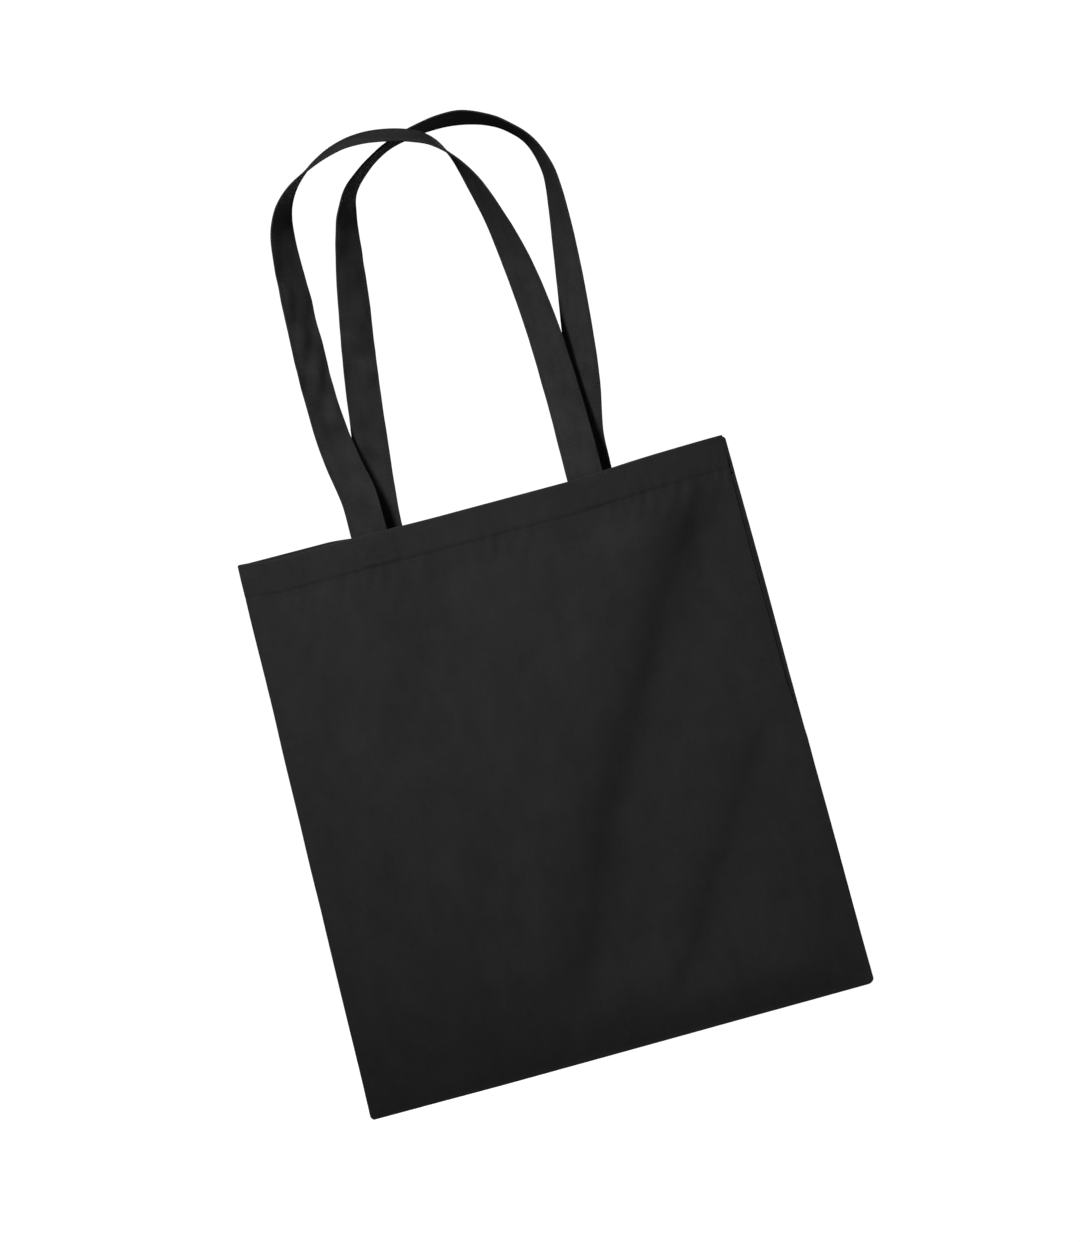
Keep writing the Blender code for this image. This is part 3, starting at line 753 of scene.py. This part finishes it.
def smooth_through(known, fine=0.05):
    """A smooth curve through rows of numbers, as closely spaced rows."""
    known = np.vstack([2 * known[0] - known[1], known, 2 * known[-1] - known[-2]])
    rows = []
    for p0, p1, p2, p3 in zip(known, known[1:], known[2:], known[3:]):
        for t in np.arange(0.0, 1.0, fine):
            bend = 2 * p0 - 5 * p1 + 4 * p2 - p3
            rows.append(p1 + 0.5 * (t * (p2 - p0) + t * t * bend + t**3 * (3 * (p1 - p2) + p3 - p0)))
    return np.array(rows + [known[-2]])


def strap_line(side, route, side_name):
    """(places, face directions, width directions, distance along) of a strap, tail to tail."""
    (l0, l1), (r0, r1) = strap_spans(side_name)
    left, right = (l0 + l1) / 2, (r0 + r1) / 2
    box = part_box(side_name + "_left_strap_end")
    foot = abs(box[0].y + box[1].y) / 2
    known = [((left + right) / 2 + across_share * (right - left) / 2, side * depth / 1000,
              rim_z + HANDLE_RISE * up, math.radians(turn)) for across_share, up, turn, depth in route]
    fine = smooth_through(np.array(known))
    tail = spread(STRAP_TAIL, 0.001, 0.004)
    first = np.stack([0 * tail + left, 0 * tail + side * foot, rim_z - tail, 0 * tail], axis=-1)
    last = np.stack([0 * tail + right, 0 * tail + side * foot, rim_z - tail, 0 * tail], axis=-1)[::-1]
    rows = np.vstack([first, fine, last])
    steps = np.linalg.norm(np.diff(rows[:, :3], axis=0), axis=1)
    along = np.concatenate([[0.0], np.cumsum(steps)])
    wanted = spread(0.0, along[-1], STRAP_PITCH)
    rows = np.stack([np.interp(wanted, along, rows[:, k]) for k in range(4)], axis=-1)
    soft = np.ones(5) / 5  # evens out the corners that close straight steps leave
    padded = np.pad(rows, ((2, 2), (0, 0)), mode="edge")
    padded[:2] = rows[0] + (rows[0] - rows[1]) * np.arange(2, 0, -1)[:, None]
    padded[-2:] = rows[-1] + (rows[-1] - rows[-2]) * np.arange(1, 3)[:, None]
    rows = np.stack([np.convolve(padded[:, k], soft, mode="valid") for k in range(4)], axis=-1)
    tangent = np.gradient(rows[:, :3], axis=0)
    tangent /= np.linalg.norm(tangent, axis=1)[:, None]
    forward = np.broadcast_to(np.array((0.0, -1.0, 0.0)), tangent.shape)
    inward = np.cross(tangent, forward)
    inward /= np.linalg.norm(inward, axis=1)[:, None]
    turn = rows[:, 3][:, None]
    face = np.cos(turn) * forward + np.sin(turn) * inward
    across_dir = np.cross(tangent, face)
    across_dir /= np.linalg.norm(across_dir, axis=1)[:, None]
    return rows[:, :3], face, across_dir, wanted


def strap_relief(along, v, length, crumple, seed):
    """How far a strap's middle surface stands off flat: a slack curl, cross creases and soft crumple."""
    free = ramp(STRAP_TAIL, STRAP_TAIL + 0.03, along) * ramp(STRAP_TAIL, STRAP_TAIL + 0.03, length - along)
    curl = 0.0010 * (v**2 - 0.3) * (0.4 + 0.6 * ripple(along, 0 * v, seed, 0.20))
    creases = 0.00058 * ripple(along + 0.006 * v, 0 * v, seed + 1, 0.021) * crumple(along / length)
    soft = 0.00054 * ripple(along, v * 0.016, seed + 2, 0.034, stretch=0.7) * crumple(along / length)
    stiff_edge = 1 - 0.75 * v**4  # the stitched edges crumple less than the middle
    return free * (curl + (creases + soft) * stiff_edge)


def strap_point(line, at, v, lift, crumple, seed):
    """Points of a strap at rows `at`, v from -1 to 1 across it, lifted off its middle surface."""
    places, face, across_dir, along = line
    offset = strap_relief(along[at], v, along[-1], crumple, seed)
    width = STRAP_WIDTH / 2 * (1 + 0.006 * ripple(along[at], 0 * v, seed + 3, 0.03))
    return places[at] + across_dir[at] * (v * width)[..., None] + face[at] * (offset + lift)[..., None]


def strap_section():
    """Share across and half thickness of a folded strap: round edges, drawn in at the stitching."""
    v = np.concatenate([np.linspace(-1, -0.93, 6), np.linspace(-0.9, 0.9, 21), np.linspace(0.93, 1, 6)])
    edge = np.clip((1 - np.abs(v)) * STRAP_WIDTH / 2 / (STRAP_THICKNESS * 0.55), 0.0, 1.0)
    half = STRAP_THICKNESS / 2 * np.sqrt(1 - (1 - edge) ** 2)
    half = half - 0.00022 * bell(np.abs(v) - STITCH_ROW, 0.05) - 0.00006 * bell(v, 0.5)
    return v, np.maximum(half, 0.0)


def make_strap(name, side_name, side, route, crumple, seed):
    """A strap as one closed band from tail to tail, bending above the rim, and the line it follows."""
    line = strap_line(side, route, side_name)
    v, half = strap_section()
    ring_v = np.concatenate([v, v[-2:0:-1]])
    ring_half = np.concatenate([half, -half[-2:0:-1]])
    count = len(line[3])
    at = np.arange(count)[:, None] + 0 * ring_v[None, :].astype(int)
    vv = np.broadcast_to(ring_v, at.shape)
    points = strap_point(line, at, vv, np.broadcast_to(ring_half, at.shape), crumple, seed)
    loop = len(ring_v)
    vertices = points.reshape(-1, 3).tolist()
    faces = []
    for i in range(count - 1):
        for j in range(loop):
            k = (j + 1) % loop
            faces.append((i * loop + j, i * loop + k, (i + 1) * loop + k, (i + 1) * loop + j))
    faces.append(tuple(range(loop))[::-1])
    faces.append(tuple((count - 1) * loop + j for j in range(loop)))
    mesh = bpy.data.meshes.new(name)
    mesh.from_pydata(vertices, [], faces)
    girth = np.concatenate([[0.0], np.cumsum(np.abs(np.diff(ring_v)) * STRAP_WIDTH / 2)])
    layer = mesh.uv_layers.new(name="cloth")
    for face in mesh.polygons:
        wraps = face.index % loop == loop - 1 and face.index < (count - 1) * loop
        for corner in face.loop_indices:
            vertex = mesh.loops[corner].vertex_index
            turn = girth[vertex % loop]
            if wraps and vertex % loop == 0:
                turn = 2 * girth[-1] - girth[-2]
            layer.data[corner].uv = (turn, line[3][vertex // loop])
    mesh.shade_smooth()
    piece = new_piece(name, mesh, strap_canvas)
    side_name + "_handle_loop"
    side * outer_depth
    side * outer_depth
    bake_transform(piece)
    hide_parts(side_name + "_handle", side_name + "_left_strap_end", side_name + "_right_strap_end")
    return piece, line


def front_crumple(share):
    """How crumpled the front strap is, at a share of its length."""
    return 0.40 + 1.7 * bell(share - 0.21, 0.11)


def back_crumple(share):
    return 0.35 + 1.5 * bell(share - 0.23, 0.11)


straps = {}
for side_name, side, route, crumple, seed in (("front", -1, FRONT_ROUTE, front_crumple, 41),
                                              ("back", 1, BACK_ROUTE, back_crumple, 51)):
    strap, line = make_strap(side_name + "_handle_strap", side_name, side, route, crumple, seed)
    straps[side_name] = (strap, line, crumple, seed)

# --- Stitching on the handles -----------------------------------------------------------------------
# A row near each edge of a strap holds its folds, seen on both faces.  Each end is sewn through hem and
# panel with a box and a cross inside it.

for side_name, side in (("front", -1), ("back", 1)):
    strap, line, crumple, seed = straps[side_name]
    at = np.arange(2, len(line[3]) - 2)
    for edge_name, sign in (("outer", -1), ("inner", 1)):
        v = np.full(at.shape, sign * STITCH_ROW)
        lines = []
        for face in (1, -1):
            lift = np.full(at.shape, face * (STRAP_THICKNESS / 2 - 0.00017))
            lines.append((strap_point(line, at, v, lift, crumple, seed), line[1][at] * face))
        row = sew(f"{side_name}_handle_{edge_name}_thread", lines, seed + sign)
        side_name + "_handle_loop"
        side * outer_depth
        side * outer_depth
        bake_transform(row)
        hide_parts(f"{side_name}_handle_{edge_name}_edge_stitch")

for side_name, side, folds, seed in PANELS:
    for end_name, off in zip(("left", "right"), SEWN_OFF[side_name]):
        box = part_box(f"{side_name}_{end_name}_box_stitch")
        x0, x1 = box[0].x + THREAD + off, box[1].x - THREAD + off
        z0, z1 = box[0].z + THREAD - base_z, box[1].z - THREAD - base_z
        corners = ((x0, z0), (x1, z0), (x1, z1), (x0, z1))
        box_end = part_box(f"{side_name}_{end_name}_strap_end")
        inner_y = min(abs(box_end[0].y), abs(box_end[1].y)) - 0.00002
        pairs = list(zip(corners, corners[1:] + corners[:1]))
        pairs += [(corners[0], corners[2]), (corners[1], corners[3])]
        lines = []
        for (ax, az), (bx, bz) in pairs:
            steps = np.linspace(0.02, 0.98, 14)
            xs, zs = ax + (bx - ax) * steps, az + (bz - az) * steps
            lines.append(cloth_line(side, xs, zs, folds, seed, 1))
            inside = np.stack([xs, 0 * xs + side * inner_y, zs + base_z], axis=-1)
            lines.append((inside, np.array((0.0, -side, 0.0))))
        cross = sew(f"{side_name}_{end_name}_box_thread", lines, seed + 5, pitch=0.0027, length=0.0024)
        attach(cross, "bag")
        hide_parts(f"{side_name}_{end_name}_box_stitch")

for side_name in ("front", "back"):
    strap, line, crumple, seed = straps[side_name]
    side_name + "_panel_cloth"

# --- Floor, backdrop, light and camera --------------------------------------------------------------
# A white sweep: a pale floor at the bag's base and a white dome, both only seen, not lighting the bag.
# A soft key from the upper left, a weak sky, a low fill from the right and a lamp behind for the back.


def stage_piece(name, mesh_maker, colour, glow):
    mesh = bpy.data.meshes.new(name)
    mesh_maker(mesh)
    made, shader, start = start_material(name + "_white")
    shader.inputs["Base Color"].default_value = (colour, colour, colour, 1.0)
    shader.inputs["Roughness"].default_value = 0.9
    shader.inputs["Specular IOR Level"].default_value = 0.0
    shader.inputs["Emission Color"].default_value = (1.0, 1.0, 1.0, 1.0)
    shader.inputs["Emission Strength"].default_value = glow
    piece = new_piece(name, mesh, made)
    piece.visible_diffuse = False
    piece.visible_glossy = False
    return piece


def disc(mesh):
    work = bmesh.new()
    bmesh.ops.create_circle(work, cap_ends=True, segments=96, radius=7.0)
    bmesh.ops.translate(work, verts=work.verts, vec=(0.0, 0.0, base_z - 0.0006))
    work.to_mesh(mesh)
    work.free()


def dome(mesh):
    work = bmesh.new()
    bmesh.ops.create_uvsphere(work, u_segments=48, v_segments=24, radius=9.0)
    work.to_mesh(mesh)
    work.free()


for stage_name, maker, colour, glow in (("floor", disc, 0.35, 0.97), ("backdrop", dome, 0.0, 1.05)):
    stage_piece(stage_name, maker, colour, glow).visible_shadow = False

world = bpy.data.worlds.new("studio")
world.use_nodes = True
world.node_tree.nodes["Background"].inputs["Color"].default_value = (1.0, 1.0, 1.0, 1.0)
world.node_tree.nodes["Background"].inputs["Strength"].default_value = 0.13
bpy.context.scene.world = world


KEY_CONE = math.radians(25.5)


def lamp(name, kind, energy, place, target, size):
    data = bpy.data.lights.new(name, kind)
    data.energy = energy
    if kind == "SUN":
        data.angle = size
    else:
        data.shadow_soft_size = size
        data.spot_size = KEY_CONE
        data.spot_blend = 1.0
    made = bpy.data.objects.new(name, data)
    made.location = place
    made.rotation_euler = (Vector(target) - Vector(place)).to_track_quat("-Z", "Y").to_euler()
    bpy.context.scene.collection.objects.link(made)


lamp("key", "SPOT", 210.0, (-0.65, -1.757, base_z + 1.79), (-0.008, 0.0, base_z + 0.39), 0.2)
lamp("fill", "SUN", 0.36, (0.8, 0.05, base_z - 0.35), (0.0, 0.0, base_z + 0.4), math.radians(40))
lamp("behind", "SUN", 1.0, (1.0, 2.6, base_z + 0.75), (0.0, 0.0, base_z + 0.2), math.radians(25))

LENS = 100.0
DISTANCE = 2.537
ROLL = math.radians(15.0)
AIM = (0.023, 0.322)  # across, and up from the base
camera_data = bpy.data.cameras.new("camera")
camera_data.lens = LENS
camera_data.sensor_width = 36.0
camera = bpy.data.objects.new("camera", camera_data)
camera.location = (AIM[0], -DISTANCE, base_z + AIM[1])
camera.rotation_euler = (math.pi / 2, ROLL, 0.0)
bpy.context.scene.collection.objects.link(camera)
bpy.context.scene.camera = camera
bpy.context.scene.view_settings.view_transform = "Standard"
